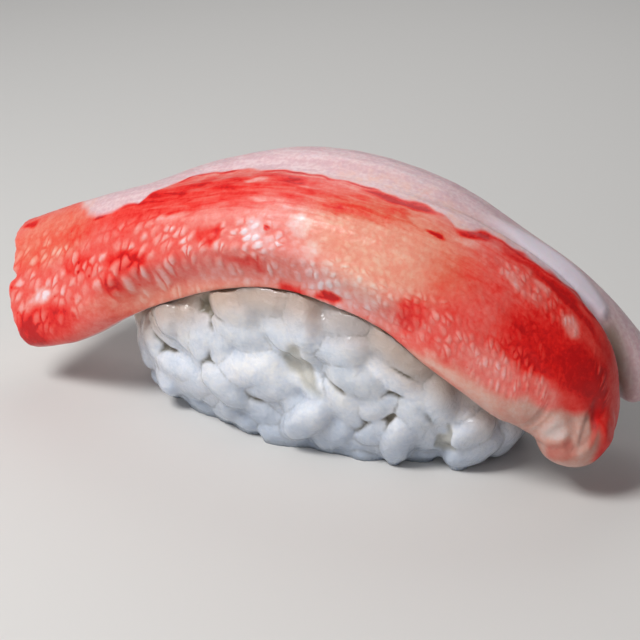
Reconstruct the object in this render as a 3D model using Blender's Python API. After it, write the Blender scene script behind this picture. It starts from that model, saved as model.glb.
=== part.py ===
"""Snow crab nigiri: the meat of one crab leg, draped over a hand-pressed ball of rice.

The rice stands on its flat pressed base with its long axis along X. The leg lies
along it and hangs over both ends. Its two muscles part along the line of the tendon:
the skin half drapes down the front, on -Y, and the pale half lies behind the crease
on top, on +Y. They are whole at the cut end, on -X, and come apart at the other.
"""

import math
import random

import bmesh
import bpy
import numpy as np
from mathutils import Matrix, Vector
from mathutils.bvhtree import BVHTree

MM = 0.001
GOLDEN_ANGLE = math.pi * (3.0 - math.sqrt(5.0))

# Rice, in millimetres: a rounded oblong, widest a little below the middle of its height.
RICE_HALF_LENGTH = 24.6
RICE_HALF_WIDTH = 11.0
RICE_WAIST = 11.0
RICE_TOP = 23.6
RICE_ROOT_DEPTH = 14.0
RICE_SQUARENESS = 2.5
RICE_SEGMENTS = 24
RICE_RINGS = 14

# One cooked grain of short rice, in millimetres.
GRAIN_LENGTH = 7.0
GRAIN_WIDTH = 3.2
GRAIN_THICKNESS = 2.7
GRAIN_BEND = 0.35
GRAIN_SEGMENTS = 5
GRAIN_RINGS = 4

# How the grains are packed, in millimetres: each is three balls in a row, and the
# balls are pushed apart where they meet, and kept just off the rice's bare core.
GRAIN_COUNT = 208
GRAIN_SEED = 11
GRAIN_LIFT = 0.35
GRAIN_LOWEST = 1.0
RIM_REACH = 2.5
BALL_RADIUS = 1.42
BALL_SPACING = 2.05
PACKING_STEPS = 120
PUSH_APART = 0.35
PULL_IN = 0.5
MOST_PUSH = 1.0
NUDGES = 8

# Clearance between the crab and the rice, and how far off counts as near, in millimetres.
GAP = 0.3
SLACK = 0.05
NEAR = 7.0

# Crab leg, in millimetres. Each row is one section across a half of the leg: centre
# x, y, z, half width, and how far its face leans to the front, in degrees.
SKIN_HALF = (
    (-43.0, -5.3, 10.1, 8.0, 57),
    (-34.0, -6.0, 13.9, 8.8, 54),
    (-23.5, -7.8, 20.2, 7.9, 51),
    (-12.5, -9.2, 25.1, 7.2, 49),
    (-1.0, -9.5, 27.2, 7.3, 49),
    (10.5, -9.5, 25.6, 7.7, 50),
    (20.5, -8.7, 21.0, 8.3, 53),
    (28.1, -7.2, 14.6, 7.8, 55),
    (31.0, -6.0, 9.6, 5.7, 52),
    (31.9, -5.4, 5.4, 3.6, 46),
)
PALE_HALF = (
    (-43.6, 0.6, 10.1, 5.9, -26),
    (-33.5, 1.5, 15.0, 6.8, -29),
    (-22.5, 3.6, 21.7, 8.2, -35),
    (-11.0, 5.2, 26.4, 8.9, -38),
    (0.5, 6.0, 28.0, 9.1, -40),
    (12.0, 6.4, 25.7, 8.9, -41),
    (21.2, 6.7, 20.6, 8.2, -41),
    (28.6, 6.5, 15.5, 7.1, -40),
    (33.7, 5.7, 10.6, 5.7, -38),
    (35.8, 5.2, 7.2, 3.7, -38),
)

# A half's thickness outside its centre, and how far its rims curl in round the rice:
# the first value over the rice, the second where the leg hangs free of it.
FACE_THICKNESS = (2.0, 3.0)
RIM_CURL = (3.0, 1.0)
HANGS_FREE = (16.0, 36.0)
# Its thickness inside its centre: along the leg, then at the tip.
INSIDE_THICKNESS = (6.2, 2.8)
TIP_THINS = (22.0, 34.0)
# How square a section is: on its face, inside at the crease, and inside at the rim.
FACE_ROUNDNESS = 2.8
CREASE_ROUNDNESS = 3.5
RIM_ROUNDNESS = 1.7
HALF_RINGS = 32
HALF_SIDES = 18
TIP_CROWDING = 0.4
TIP_ROUNDING = 3.6
TIP_STUB = 0.12

# The flat cut across the leg: a point on it, and how far it leans back from upright.
CUT_POINT = (-39.3, 0.0, 11.0)
CUT_LEAN = math.radians(24)

# The round knob of flesh at the front tip: centre, half sizes and its turn about Y.
KNOB_CENTRE = (30.9, -6.2, 7.1)
KNOB_HALF_SIZE = (4.2, 4.0, 3.9)
KNOB_TURN = math.radians(-12)
KNOB_SEGMENTS = 14
KNOB_RINGS = 9

# Cutting blocks, in metres, larger than anything they cut.
BLOCK = 0.2


def clear_objects():
    for old in list(bpy.data.objects):
        bpy.data.objects.remove(old, do_unlink=True)


def new_collection(name):
    made = bpy.data.collections.new(name)
    bpy.context.scene.collection.children.link(made)
    return made


def food_material(name, colour, roughness):
    made = bpy.data.materials.new(name)
    made.use_nodes = True
    shader = made.node_tree.nodes["Principled BSDF"]
    shader.inputs["Base Color"].default_value = (*colour, 1.0)
    shader.inputs["Roughness"].default_value = roughness
    shader.inputs["Metallic"].default_value = 0.0
    return made


def object_from_bmesh(name, bm, collection):
    bmesh.ops.recalc_face_normals(bm, faces=bm.faces)
    mesh = bpy.data.meshes.new(name)
    bm.to_mesh(mesh)
    bm.free()
    made = bpy.data.objects.new(name, mesh)
    collection.objects.link(made)
    return made


def apply_modifiers(target):
    bpy.context.view_layer.update()
    evaluated = target.evaluated_get(bpy.context.evaluated_depsgraph_get())
    mesh = bpy.data.meshes.new_from_object(evaluated)
    target.modifiers.clear()
    target.data = mesh


def join_by_union(target, collection, solver="EXACT"):
    """Fuse every object of the collection to the target, and remove them."""
    union = target.modifiers.new("fuse", "BOOLEAN")
    union.operation = "UNION"
    union.solver = solver
    union.operand_type = "COLLECTION"
    union.collection = collection
    apply_modifiers(target)
    for piece in list(collection.objects):
        bpy.data.objects.remove(piece, do_unlink=True)


def cut_away(target, cutter, solver="EXACT"):
    difference = target.modifiers.new("cut", "BOOLEAN")
    difference.operation = "DIFFERENCE"
    difference.solver = solver
    difference.object = cutter
    apply_modifiers(target)
    bpy.data.objects.remove(cutter, do_unlink=True)


def ramp(value, limits):
    """From 0 at the first limit to 1 at the second."""
    low, high = limits
    return min(max((value - low) / (high - low), 0.0), 1.0)


def mixed(pair, share):
    return pair[0] + (pair[1] - pair[0]) * share


# Rice


def rice_reach(below_waist):
    """The oblong's half sizes along X, Y and Z, above its waist or below it."""
    return RICE_HALF_LENGTH, RICE_HALF_WIDTH, RICE_ROOT_DEPTH if below_waist else RICE_TOP - RICE_WAIST


def rice_point(direction, grow=0.0):
    """Where a ray from the middle of the rice's waist leaves the oblong, in millimetres."""
    total = sum(
        abs(part / (half + grow)) ** RICE_SQUARENESS
        for part, half in zip(direction, rice_reach(direction.z < 0.0))
    )
    return direction * total ** (-1.0 / RICE_SQUARENESS) + Vector((0.0, 0.0, RICE_WAIST))


def rice_body(name, collection, grow=0.0):
    bm = bmesh.new()
    bmesh.ops.create_uvsphere(bm, u_segments=RICE_SEGMENTS, v_segments=RICE_RINGS, radius=1.0)
    for vert in bm.verts:
        vert.co = rice_point(vert.co.normalized(), grow) * MM
    return object_from_bmesh(name, bm, collection)


def block_below_floor(collection):
    bm = bmesh.new()
    bmesh.ops.create_cube(bm, size=BLOCK)
    bmesh.ops.translate(bm, vec=(0.0, 0.0, -BLOCK / 2.0), verts=bm.verts)
    return object_from_bmesh("below_floor", bm, collection)


def off_rice(points):
    """How far each point stands off the bare oblong, and the way straight out from it."""
    reach = np.array([rice_reach(z < RICE_WAIST) for z in points[:, 2]])
    offset = points - [0.0, 0.0, RICE_WAIST]
    share = np.abs(offset / reach)
    level = (share**RICE_SQUARENESS).sum(axis=1) ** (1.0 / RICE_SQUARENESS)
    slope = np.sign(offset) * share ** (RICE_SQUARENESS - 1.0) / reach
    slope *= (level ** (1.0 - RICE_SQUARENESS))[:, None]
    steepness = np.linalg.norm(slope, axis=1)
    return (level - 1.0) / steepness, slope / steepness[:, None]


def spiral_points():
    """Points on an even spiral over the rice, from its top to its base."""
    points = []
    for i in range(GRAIN_COUNT):
        up = 1.0 - 2.0 * (i + 0.5) / GRAIN_COUNT
        side = math.sqrt(1.0 - up * up)
        direction = Vector((
            RICE_HALF_LENGTH * side * math.cos(i * GOLDEN_ANGLE),
            RICE_HALF_WIDTH * side * math.sin(i * GOLDEN_ANGLE),
            (RICE_TOP - RICE_WAIST) * up,
        ))
        points.append(rice_point(direction))
    return np.array(points)


def off_crab(point, halves):
    """How far a point in metres stands off the crab, in millimetres, and the way out."""
    best = (NEAR, Vector((0.0, 0.0, 0.0)))
    for half in halves:
        near, normal, _, _ = half.find_nearest(point, NEAR * MM)
        if near is not None:
            best = min(best, ((point - near).dot(normal) / MM, normal), key=lambda pair: pair[0])
    return best


def covered(point, halves):
    """Whether the crab lies over this place on the rice."""
    _, out = off_rice(point[None, :])
    start = Vector(point) * MM
    return any(half.ray_cast(start, Vector(out[0]), 2.0 * NEAR * MM)[0] is not None for half in halves)


def points_that_show(points, halves):
    """Keep the points that show, and slide those just under the crab's rim out of it."""
    shown = []
    for point in points:
        for lower in (point, point - [0.0, 0.0, RIM_REACH]):
            if not covered(lower, halves):
                shown.append(lower)
                break
    return np.array(shown)


def push_off_crab(balls, halves):
    push = np.zeros_like(balls)
    for i, ball in enumerate(balls):
        distance, out = off_crab(Vector(ball) * MM, halves)
        push[i] = out * min(max(BALL_RADIUS + GAP - distance, 0.0), MOST_PUSH)
    return push


def push_apart(balls):
    between = balls[:, None, :] - balls[None, :, :]
    distance = np.linalg.norm(between, axis=2)
    grain = np.arange(len(balls)) // 3
    overlap = np.clip(2.0 * BALL_RADIUS - distance, 0.0, None)
    overlap[grain[:, None] == grain[None, :]] = 0.0
    away = between / np.maximum(distance, SLACK)[:, :, None]
    return (away * overlap[:, :, None]).sum(axis=1) * PUSH_APART


def settle(centres, headings, halves):
    """Move and turn the grains until they lie beside each other, round the crab's rim."""
    steps = np.array([-1.0, 0.0, 1.0])[None, :, None] * BALL_SPACING
    for _ in range(PACKING_STEPS):
        headings = headings / np.linalg.norm(headings, axis=1)[:, None]
        balls = (centres[:, None, :] + headings[:, None, :] * steps).reshape(-1, 3)
        height, out = off_rice(balls)
        push = push_apart(balls) + push_off_crab(balls, halves)
        push -= out * (height - GRAIN_LIFT)[:, None] * PULL_IN
        push[:, 2] += np.clip(GRAIN_LOWEST - balls[:, 2], 0.0, MOST_PUSH)
        push = push.reshape(-1, 3, 3)
        centres = centres + push.mean(axis=1)
        headings = headings + (push[:, 2] - push[:, 0]) / (4.0 * BALL_SPACING)
    return centres, headings


def grain_matrix(centre, heading):
    """Lay a grain along its heading, its flat side against the rice."""
    _, out = off_rice(centre[None, :])
    along = Vector(heading).normalized()
    flat = Vector(out[0])
    flat = (flat - along * flat.dot(along)).normalized()
    turned = Matrix((along, flat.cross(along), flat)).transposed().to_4x4()
    return Matrix.Translation(Vector(centre) * MM) @ turned


def clear_matrix(centre, heading, mesh, halves):
    """Where a grain lies once it is nudged clear of the crab, or None if it can't be."""
    for _ in range(NUDGES):
        matrix = grain_matrix(centre, heading)
        corners = (off_crab(matrix @ vert.co, halves) for vert in mesh.vertices)
        distance, out = min(corners, key=lambda pair: pair[0])
        if distance >= GAP:
            return matrix
        centre = centre + np.array(out) * (GAP + SLACK - distance)
    return None


def grain_mesh():
    """A grain is a long ball, a little flat and a little bent."""
    bm = bmesh.new()
    bmesh.ops.create_uvsphere(bm, u_segments=GRAIN_SEGMENTS, v_segments=GRAIN_RINGS, radius=0.5)
    bmesh.ops.rotate(bm, matrix=Matrix.Rotation(math.pi / 2, 3, "Y"), verts=bm.verts)
    for vert in bm.verts:
        bend = GRAIN_BEND * (2.0 * vert.co.x) ** 2
        vert.co.x *= GRAIN_LENGTH * MM
        vert.co.y = (vert.co.y * GRAIN_WIDTH + bend) * MM
        vert.co.z *= GRAIN_THICKNESS * MM
    mesh = bpy.data.meshes.new("grain")
    bm.to_mesh(mesh)
    bm.free()
    return mesh


def pack_grains(collection, halves):
    """Pack grains over the rice where it shows, none of them through the crab."""
    draw = random.Random(GRAIN_SEED)
    centres = points_that_show(spiral_points(), halves)
    headings = np.array([[draw.gauss(0.0, 1.0) for _ in range(3)] for _ in centres])
    mesh = grain_mesh()
    for i, (centre, heading) in enumerate(zip(*settle(centres, headings, halves))):
        matrix = clear_matrix(centre, heading, mesh, halves)
        if matrix is None:
            continue
        grain = bpy.data.objects.new(f"grain_{i:03d}", mesh.copy())
        grain.data.transform(matrix)
        collection.objects.link(grain)


# Crab


def section_at(rows, t):
    """The row at t, from 0 to 1, on a smooth curve through all the rows."""
    place = t * (len(rows) - 1)
    i = min(int(place), len(rows) - 2)
    f = place - i
    before, here = rows[max(i - 1, 0)], rows[i]
    there, after = rows[i + 1], rows[min(i + 2, len(rows) - 1)]
    return [
        0.5 * (2 * b + (c - a) * f + (2 * a - 5 * b + 4 * c - d) * f**2 + (3 * b - a - 3 * c + d) * f**3)
        for a, b, c, d in zip(before, here, there, after)
    ]


def squared(wave, roundness):
    return math.copysign(abs(wave) ** (2.0 / roundness), wave)


def ring_points(rows, t, shrink):
    """One section of a half of the leg: a flat D, face outwards, wrapped over the rice."""
    x, y, z, half_width, lean = section_at(rows, t)
    ahead = Vector(section_at(rows, min(t + 0.01, 1.0))[:3])
    behind = Vector(section_at(rows, max(t - 0.01, 0.0))[:3])
    along = (ahead - behind).normalized()
    side = (Vector((0.0, 1.0, 0.0)) - along * along.y).normalized()
    up = along.cross(side)
    angle = math.radians(lean)
    outward = up * math.cos(angle) - side * math.sin(angle)
    across = side * math.cos(angle) + up * math.sin(angle)
    free = ramp(abs(x), HANGS_FREE)
    inside = mixed(INSIDE_THICKNESS, ramp(x, TIP_THINS))
    points = []
    for i in range(HALF_SIDES):
        turn = 2.0 * math.pi * (i + 0.5) / HALF_SIDES
        wide, thick = math.cos(turn), math.sin(turn)
        at_crease = wide * lean > 0.0
        if thick > 0.0:
            roundness = FACE_ROUNDNESS
        else:
            roundness = CREASE_ROUNDNESS if at_crease else RIM_ROUNDNESS
        wide = squared(wide, roundness) * shrink
        thick = squared(thick, roundness) * shrink
        depth = thick * (mixed(FACE_THICKNESS, free) if thick > 0.0 else inside)
        depth -= mixed(RIM_CURL, free) * wide**2
        points.append((Vector((x, y, z)) + across * half_width * wide + outward * depth) * MM)
    return points


def end_shrink(distance):
    """How much a section shrinks this far from the round tip."""
    short = 1.0 - min(max(distance, TIP_STUB) / TIP_ROUNDING, 1.0)
    return math.sqrt(1.0 - short**2)


def leg_half(name, rows, collection):
    """Loft a closed body through the rows, from the cut end to the round tip."""
    length = sum((Vector(b[:3]) - Vector(a[:3])).length for a, b in zip(rows, rows[1:]))
    bm = bmesh.new()
    rings = []
    for i in range(HALF_RINGS + 1):
        even = i / HALF_RINGS
        t = mixed((even, math.sin(0.5 * math.pi * even)), TIP_CROWDING)
        points = ring_points(rows, t, end_shrink((1.0 - t) * length))
        rings.append([bm.verts.new(point) for point in points])
    for low, high in zip(rings, rings[1:]):
        for i in range(HALF_SIDES):
            j = (i + 1) % HALF_SIDES
            bm.faces.new((low[i], low[j], high[j], high[i]))
    for ring in (rings[0], rings[-1]):
        middle = bm.verts.new(sum((vert.co for vert in ring), Vector()) / HALF_SIDES)
        for i in range(HALF_SIDES):
            bm.faces.new((ring[i], ring[(i + 1) % HALF_SIDES], middle))
    return object_from_bmesh(name, bm, collection)


def knob(collection):
    bm = bmesh.new()
    bmesh.ops.create_uvsphere(bm, u_segments=KNOB_SEGMENTS, v_segments=KNOB_RINGS, radius=MM)
    bmesh.ops.scale(bm, vec=KNOB_HALF_SIZE, verts=bm.verts)
    bmesh.ops.rotate(bm, matrix=Matrix.Rotation(KNOB_TURN, 3, "Y"), verts=bm.verts)
    bmesh.ops.translate(bm, vec=Vector(KNOB_CENTRE) * MM, verts=bm.verts)
    return object_from_bmesh("knob", bm, collection)


def block_past_cut(collection):
    """A block whose face lies on the flat cut across the leg."""
    bm = bmesh.new()
    bmesh.ops.create_cube(bm, size=BLOCK)
    bmesh.ops.translate(bm, vec=(-BLOCK / 2.0, 0.0, 0.0), verts=bm.verts)
    bmesh.ops.rotate(bm, matrix=Matrix.Rotation(-CUT_LEAN, 3, "Y"), verts=bm.verts)
    bmesh.ops.translate(bm, vec=Vector(CUT_POINT) * MM, verts=bm.verts)
    return object_from_bmesh("past_cut", bm, collection)


def tree_of(thing):
    bm = bmesh.new()
    bm.from_mesh(thing.data)
    tree = BVHTree.FromBMesh(bm)
    bm.free()
    return tree


def centre_over_origin(things):
    """Slide everything along the floor until its box is centred over the origin."""
    corners = np.array([vert.co for thing in things for vert in thing.data.vertices])
    middle = (corners.min(axis=0) + corners.max(axis=0)) / 2.0
    for thing in things:
        thing.data.transform(Matrix.Translation((-middle[0], -middle[1], 0.0)))


def finish(thing, material):
    thing.data.materials.clear()
    thing.data.materials.append(material)


def build():
    clear_objects()
    parts = new_collection("snow_crab_nigiri")
    cutters = new_collection("cutters")
    fused = new_collection("fused")

    crab = leg_half("crab_leg", SKIN_HALF, parts)
    pale_half = leg_half("pale_half", PALE_HALF, fused)
    knob(fused)
    halves = [tree_of(crab), tree_of(pale_half)]
    join_by_union(crab, fused)
    cut_away(crab, rice_body("room_for_rice", cutters, grow=GAP))
    cut_away(crab, block_past_cut(cutters))
    finish(crab, food_material("crab_meat", (0.62, 0.09, 0.06), 0.35))

    rice = rice_body("rice", parts)
    pack_grains(fused, halves)
    join_by_union(rice, fused, solver="MANIFOLD")
    cut_away(rice, block_below_floor(cutters), solver="MANIFOLD")
    finish(rice, food_material("cooked_rice", (0.75, 0.73, 0.70), 0.3))

    centre_over_origin(parts.objects)


build()
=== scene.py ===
# %% [markdown]
# # Snow crab nigiri
#
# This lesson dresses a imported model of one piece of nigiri: the cooked meat of a crab's
# leg, draped over a hand-pressed oblong of rice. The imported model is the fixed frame.
# Its two solids give the true form, and the cells below make the surface that is seen:
# the pebbled red and white meat, and the wet grains of rice.
#
# The script works in metres, as Blender does. Sizes are written in millimetres, because
# that is how food this small is measured, and `MM` turns one into the other.

# %% Load the frame
import math
import random

import bpy
import numpy as np
from mathutils import Matrix, Vector, noise
from mathutils.bvhtree import BVHTree
from mathutils.kdtree import KDTree


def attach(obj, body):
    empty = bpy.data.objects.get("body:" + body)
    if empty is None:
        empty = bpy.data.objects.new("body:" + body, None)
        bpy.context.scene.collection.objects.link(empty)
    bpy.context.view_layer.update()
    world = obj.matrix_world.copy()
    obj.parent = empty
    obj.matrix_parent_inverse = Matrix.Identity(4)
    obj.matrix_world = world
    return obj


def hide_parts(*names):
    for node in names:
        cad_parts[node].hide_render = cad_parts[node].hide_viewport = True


MM = 0.001

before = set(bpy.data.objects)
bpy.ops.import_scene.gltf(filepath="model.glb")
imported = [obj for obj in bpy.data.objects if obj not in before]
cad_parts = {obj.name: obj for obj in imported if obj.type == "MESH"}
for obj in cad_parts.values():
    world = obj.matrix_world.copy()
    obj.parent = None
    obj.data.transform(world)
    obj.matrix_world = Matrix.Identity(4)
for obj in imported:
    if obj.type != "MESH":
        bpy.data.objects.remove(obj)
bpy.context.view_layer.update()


# %% [markdown]
# ## Working as by hand
#
# An operator acts on all that is selected, so each step first selects the one piece that
# it is about. A modifier is applied as soon as it is set up, so that the next step works
# on real points.


# %% Helpers for making, selecting and changing pieces
def new_object(name, data):
    """A new object in the scene, with this mesh, camera or light."""
    made = bpy.data.objects.new(name, data)
    bpy.context.scene.collection.objects.link(made)
    return made


def only(piece):
    bpy.ops.object.select_all(action="DESELECT")
    piece.select_set(True)
    bpy.context.view_layer.objects.active = piece


def primitive(name, operator, **settings):
    """A new primitive, the only piece that is selected."""
    bpy.ops.object.select_all(action="DESELECT")
    operator(**settings)
    bpy.context.object.name = name
    return bpy.context.object


def modify(piece, kind, **settings):
    """Add a modifier with its settings, and apply it."""
    only(piece)
    modifier = piece.modifiers.new(kind.lower(), kind)
    for name, value in settings.items():
        setattr(modifier, name, value)
    bpy.ops.object.modifier_apply(modifier=modifier.name)


def edit(piece, operator, **settings):
    """Run an operator on the whole mesh, in edit mode."""
    only(piece)
    bpy.ops.object.mode_set(mode="EDIT")
    bpy.ops.mesh.select_all(action="SELECT")
    operator(**settings)
    bpy.ops.object.mode_set(mode="OBJECT")


def count(piece):
    piece.data.calc_loop_triangles()
    print(f"{piece.name}: {len(piece.data.vertices)} points, {len(piece.data.loop_triangles)} triangles")


# %% [markdown]
# ## Camera
#
# The picture looks down on the nigiri from its front right, a little above, with a long
# lens, which keeps the near end from looming. The lens and the distance set how large a
# millimetre shows.

# %% Camera
VIEW_AZIMUTH = math.radians(25)
VIEW_ELEVATION = math.radians(25)
VIEW_DISTANCE = 182.1 * MM
VIEW_TARGET = Vector((-1.53, 3.40, 9.61)) * MM
LENS = 85.0
SENSOR_WIDTH = 36.0

to_camera = Vector((
    math.sin(VIEW_AZIMUTH) * math.cos(VIEW_ELEVATION),
    -math.cos(VIEW_AZIMUTH) * math.cos(VIEW_ELEVATION),
    math.sin(VIEW_ELEVATION),
))
camera_data = bpy.data.cameras.new("camera")
camera_data.lens = LENS
camera_data.sensor_width = SENSOR_WIDTH
camera_data.clip_start = 10.0 * MM
camera = new_object("camera", camera_data)
camera.location = VIEW_TARGET + to_camera * VIEW_DISTANCE
camera.rotation_euler = to_camera.to_track_quat("Z", "Y").to_euler()
bpy.context.scene.camera = camera
print("camera at, in mm:", [round(v / MM, 1) for v in camera.location])


# %% [markdown]
# ## Colours and materials
#
# Colours are written as sRGB hex values, as a colour picker shows them. A shader works
# on linear light, so one function turns them over. One more function adds a node to a
# material or to a geometry tree, with its settings and its links, so that a pattern can
# be read from top to bottom. What materials do again and again is a function as well:
# a number swings with patterns, and colours lie over each other like glazes.


# %% Helpers for colours and nodes
# A Map Range node with this setting goes smoothly from one value to the other.
SOFTLY = {"interpolation_type": "SMOOTHSTEP"}


def colour(hex_value):
    """An sRGB hex value as linear light, with full alpha."""
    channels = [int(hex_value[i : i + 2], 16) / 255 for i in (0, 2, 4)]
    return (*[c / 12.92 if c <= 0.04045 else ((c + 0.055) / 1.055) ** 2.4 for c in channels], 1.0)


def plug(tree, node, inputs):
    """Set a node's inputs, by name or number, to values or to the sockets that feed them."""
    for name, value in inputs.items():
        if isinstance(value, bpy.types.NodeSocket):
            tree.links.new(value, node.inputs[name])
        else:
            node.inputs[name].default_value = value


def add(tree, kind, *values, output=0, stops=(), **named):
    """Add a node and hand back one of its outputs.

    The kind is a shader node's, a Math node's operation in capitals, or a full name.
    Values come in the order of the inputs, or under an input's name, which starts with a
    capital. Other names are settings, and stops are the places and colours of a ramp.
    """
    if kind.isupper():
        kind, named["operation"] = "Math", kind
    node = tree.nodes.new(kind if "Node" in kind else "ShaderNode" + kind)
    inputs = dict(enumerate(values))
    for name, value in named.items():
        if name[0].isupper():
            inputs[name] = value
        else:
            setattr(node, name, value)
    plug(tree, node, inputs)
    if stops:
        elements = node.color_ramp.elements
        elements[0].position, elements[1].position = stops[0][0], stops[-1][0]
        for place, _ in stops[1:-1]:
            elements.new(place)
        for element, (_, hex_value) in zip(elements, stops):
            element.color = colour(hex_value)
    return node.outputs[output]


def vary(tree, amount, *patterns):
    """Let a number swing with each pattern, about the pattern's middle and by its share."""
    for pattern, share in patterns:
        swing = add(tree, "SUBTRACT", pattern, 0.5)
        amount = add(tree, "MULTIPLY_ADD", swing, share, amount)
    return amount


def layered(tree, base, *layers):
    """Lay colours over the base, one after the other, each by its share."""
    for share, above in layers:
        laid = add(tree, "Mix", share, output=2, data_type="RGBA")
        plug(tree, laid.node, {6: base, 7: above})
        base = laid
    return base


def new_material(name):
    """A material with its Principled shader, ready for its colours and patterns."""
    made = bpy.data.materials.new(name)
    made.use_nodes = True
    return made, made.node_tree, made.node_tree.nodes["Principled BSDF"]


# %% [markdown]
# ## Places on the leg
#
# A crab's leg muscle has a grain: fibres run along it, and the red skin lies over one
# face of it, from the crease on top to the lip that meets the rice. Colour and relief
# both follow that grain, so every point of the surface gets its place on the leg: how
# far along it lies from the cut end, and how far down from the crease, in millimetres.
#
# The rows below are sections across each half of the leg, as in the solids: centre x, y,
# z, half width, and how far the face leans to the front, in degrees.

# %% Sections of the two halves
SKIN_ROWS = np.array([
    (-41.0, -5.2, 10.1, 8.0, 57),
    (-32.0, -5.9, 13.9, 8.8, 54),
    (-21.5, -7.7, 20.2, 7.9, 51),
    (-10.5, -9.1, 25.1, 7.2, 49),
    (1.0, -9.4, 27.2, 7.3, 49),
    (12.5, -9.4, 25.6, 7.7, 50),
    (22.5, -8.6, 21.0, 8.3, 53),
    (30.1, -7.1, 14.6, 7.8, 55),
    (33.0, -5.9, 9.6, 5.7, 52),
    (33.9, -5.3, 5.4, 3.6, 46),
])
PALE_ROWS = np.array([
    (-41.6, 0.7, 10.1, 5.9, -26),
    (-31.5, 1.6, 15.0, 6.8, -29),
    (-20.5, 3.7, 21.7, 8.2, -35),
    (-9.0, 5.3, 26.4, 8.9, -38),
    (2.5, 6.1, 28.0, 9.1, -40),
    (14.0, 6.5, 25.7, 8.9, -41),
    (23.2, 6.8, 20.6, 8.2, -41),
    (30.6, 6.6, 15.5, 7.1, -40),
    (35.7, 5.8, 10.6, 5.7, -38),
    (37.8, 5.3, 7.2, 3.7, -38),
])
LINE_POINTS = 1500
SECTION_SQUARENESS = 2.8
INNER_DEPTH = 6.0


def smooth_line(rows):
    """The rows, joined by a smooth curve with many points."""
    t = np.linspace(0, len(rows) - 1, LINE_POINTS)
    i = np.minimum(t.astype(int), len(rows) - 2)
    f = (t - i)[:, None]
    a, b, c, d = rows[np.maximum(i - 1, 0)], rows[i], rows[i + 1], rows[np.minimum(i + 2, len(rows) - 1)]
    return 0.5 * (2 * b + (c - a) * f + (2 * a - 5 * b + 4 * c - d) * f**2 + (3 * b - a - 3 * c + d) * f**3)


def unit(vectors):
    return vectors / np.linalg.norm(vectors, axis=1)[:, None]


def places_on(rows, points):
    """Each point's way along the half, across its face and out of it, and what is there.

    The last two are the half width of the section, and the direction straight out.
    """
    line = smooth_line(rows)
    centre, half_width, lean = line[:, :3], line[:, 3], np.radians(line[:, 4])[:, None]
    forward = unit(np.gradient(centre, axis=0))
    length = np.concatenate([[0.0], np.cumsum(np.linalg.norm(np.diff(centre, axis=0), axis=1))])
    sideways = unit(np.array([0.0, 1.0, 0.0]) - forward * forward[:, 1:2])
    upwards = np.cross(forward, sideways)
    outward = upwards * np.cos(lean) - sideways * np.sin(lean)
    across = sideways * np.cos(lean) + upwards * np.sin(lean)
    tree = KDTree(len(centre))
    for i, point in enumerate(centre):
        tree.insert(point, i)
    tree.balance()
    near = np.array([tree.find(point)[1] for point in points])
    offset = points - centre[near]
    along = length[near] + (offset * forward[near]).sum(axis=1)
    wide = (offset * across[near]).sum(axis=1)
    out = (offset * outward[near]).sum(axis=1)
    return along, wide, out, half_width[near], outward[near]


def fullness(wide, out, half_width, thickness, curl):
    """1 on the surface of a half's section, less inside it and more outside."""
    share = np.abs(wide / half_width)
    depth = out + curl * share**2
    thick = np.where(depth > 0.0, thickness, INNER_DEPTH)
    total = share**SECTION_SQUARENESS + np.abs(depth / thick) ** SECTION_SQUARENESS
    return total ** (1 / SECTION_SQUARENESS)


def read_points(piece, field):
    """One vector for each of the piece's points."""
    flat = np.empty(len(piece.data.vertices) * 3)
    piece.data.vertices.foreach_get(field, flat)
    return flat.reshape(-1, 3)


def points_of(piece):
    """The piece's points, in millimetres."""
    return read_points(piece, "co") / MM


def move_points(piece, points):
    piece.data.vertices.foreach_set("co", (points * MM).ravel())
    piece.data.update()


# %% [markdown]
# ## The meat's form
#
# The solid of the leg has the right form, in flat facets. A copy of it is merged, made
# again from even quads by a voxel remesh, and smoothed until the facets are gone.
# Smoothing also melts the crease, which is right over the middle, where red and white
# meat are still joined, and wrong at the tips, where they hang apart. So a second, longer
# round of smoothing works through a vertex group that holds only the joined stretch.
# Last, faces are merged on the pale half, which has no pebbles and needs less detail.

# %% Copy, remesh and smooth the leg
VOXEL = 0.24 * MM
MOST_TRIANGLES = 190000
CREASE_REACH = 3.0
# Along the leg: where the two halves begin to be joined and are, and where that ends.
JOINED = (2.0, 10.0, 52.0, 62.0)
# How far from the middle, left or right, the halves begin to hang free, and where they do.
MIDDLE_X = 2.0
FREE = (16.0, 36.0)

meat = new_object("crab_meat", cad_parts["crab_leg"].data.copy())
edit(meat, bpy.ops.mesh.remove_doubles, threshold=0.01 * MM)
modify(meat, "REMESH", mode="VOXEL", voxel_size=VOXEL)
count(meat)


def step(values, low, high):
    """Smoothly from 0 to 1 while the values go from low to high."""
    share = np.clip((values - low) / (high - low), 0.0, 1.0)
    return share * share * (3.0 - 2.0 * share)


def window(values, low, high, falling, end):
    """Smoothly from 0 to 1 between the first two, and back to 0 between the last two."""
    return step(values, low, high) * (1.0 - step(values, falling, end))


def weigh(piece, name, weights):
    """Put weights in a new vertex group, in steps of a tenth."""
    group = piece.vertex_groups.new(name=name)
    for level in range(1, 11):
        chosen = np.flatnonzero(np.round(weights * 10) == level)
        group.add(chosen.tolist(), level / 10, "REPLACE")
    return name


def thin_out(piece, name, weights, aim):
    """Merge faces where the weights are high, down to about this many triangles."""
    piece.data.calc_loop_triangles()
    group = weigh(piece, name, weights)
    modify(piece, "DECIMATE", ratio=aim / len(piece.data.loop_triangles), vertex_group=group)
    count(piece)


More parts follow.
